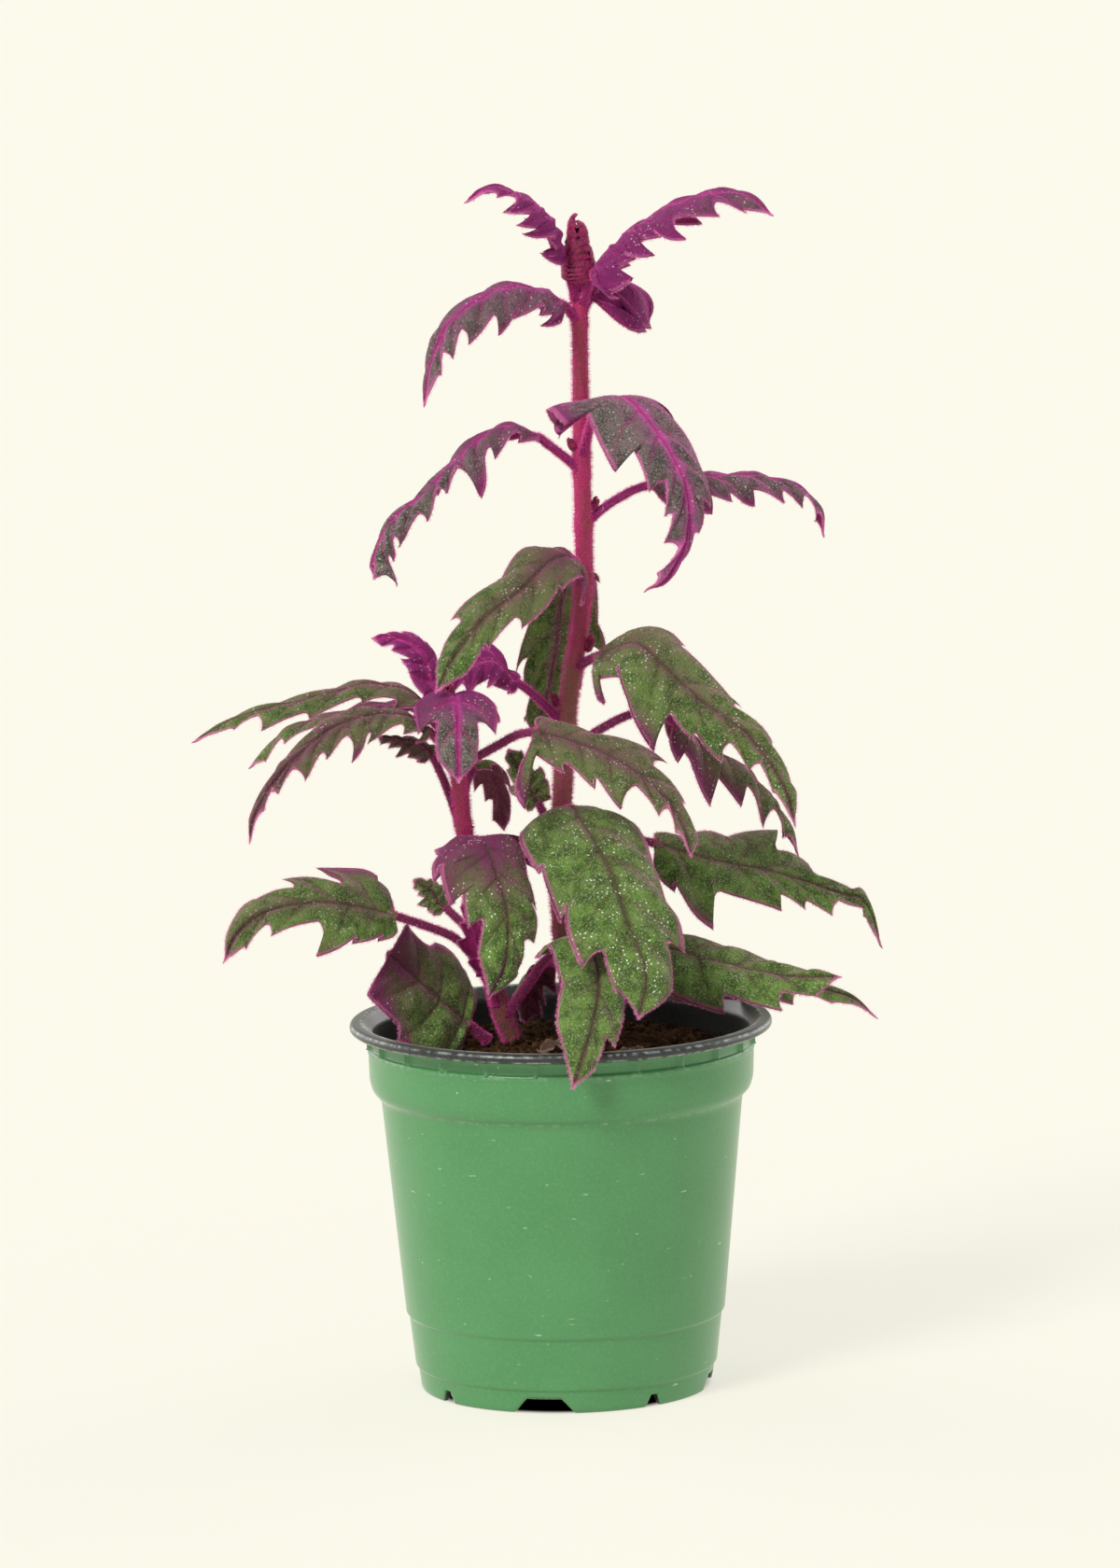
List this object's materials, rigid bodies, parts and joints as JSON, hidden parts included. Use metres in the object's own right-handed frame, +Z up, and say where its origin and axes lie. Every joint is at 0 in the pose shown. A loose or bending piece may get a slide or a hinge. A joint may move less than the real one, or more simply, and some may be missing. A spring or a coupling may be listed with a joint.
{
  "type": "potted velvet plant",
  "caption": "Upright purple velvet plant with toothed, hairy leaves, growing in a round ribbed nursery pot with a rolled lip and drain notches.",
  "frame": {"origin": "on the ground, under the middle of the plant's spread, close to the pot's axis", "axes": "+Z up along the pot's axis, the plant's fuller face looks along -Y, +X to the right of that face"},
  "size_m": [0.1777, 0.1175, 0.3151],
  "materials": {
    "pot_plastic": "green injection moulded polypropylene with a satin face, a dark scuffed lip and fine pale scratches",
    "compost": "dark damp peat compost in crumbs and fibres",
    "stem_velvet": "green-brown stem under a dense coat of crimson and pink hairs",
    "leaf_velvet": "grown leaf, green with sunk veins, purple towards its edges, a fringe of pink hairs and pale specks",
    "young_leaf_velvet": "young leaf, dark green under a thick nap of bright purple hairs",
    "bud_velvet": "closed crimson bud with a short nap",
    "dry_leaf": "crisp brown fallen leaf with an orange edge",
    "perlite": "chalky white expanded perlite"
  },
  "bodies": {
    "root": {"axil_bud_01": "bud_velvet", "axil_bud_02": "bud_velvet", "axil_bud_03": "bud_velvet", "axil_bud_04": "bud_velvet", "base_leaf_01": "leaf_velvet", "dry_leaf_01": "dry_leaf", "dry_leaf_02": "dry_leaf", "main_leaf_01": "young_leaf_velvet", "main_leaf_02": "young_leaf_velvet", "main_leaf_03": "young_leaf_velvet", "main_leaf_04": "young_leaf_velvet", "main_leaf_05": "young_leaf_velvet", "main_leaf_06": "young_leaf_velvet", "main_leaf_07": "young_leaf_velvet", "main_leaf_08": "leaf_velvet", "main_leaf_09": "leaf_velvet", "main_leaf_10": "leaf_velvet", "main_leaf_11": "leaf_velvet", "main_leaf_12": "young_leaf_velvet", "main_leaf_13": "leaf_velvet", "main_leaf_14": "leaf_velvet", "main_leaf_15": "leaf_velvet", "main_leaf_16": "leaf_velvet", "main_leaf_17": "leaf_velvet", "main_leaf_18": "leaf_velvet", "main_leaf_19": "leaf_velvet", "main_leaf_20": "leaf_velvet", "main_stem": "stem_velvet", "nursery_pot": "pot_plastic", "perlite_01": "perlite", "perlite_02": "perlite", "perlite_03": "perlite", "potting_soil": "compost", "side_bud": "bud_velvet", "side_leaf_01": "young_leaf_velvet", "side_leaf_02": "leaf_velvet", "side_leaf_03": "leaf_velvet", "side_leaf_04": "leaf_velvet", "side_leaf_05": "young_leaf_velvet", "side_leaf_06": "leaf_velvet", "side_leaf_07": "leaf_velvet", "side_leaf_08": "leaf_velvet", "side_leaf_09": "leaf_velvet", "side_leaf_10": "leaf_velvet", "side_leaf_11": "leaf_velvet", "side_leaf_12": "young_leaf_velvet", "side_leaf_13": "leaf_velvet", "side_stem": "stem_velvet", "top_bud": "bud_velvet"}
  },
  "joints": []
}
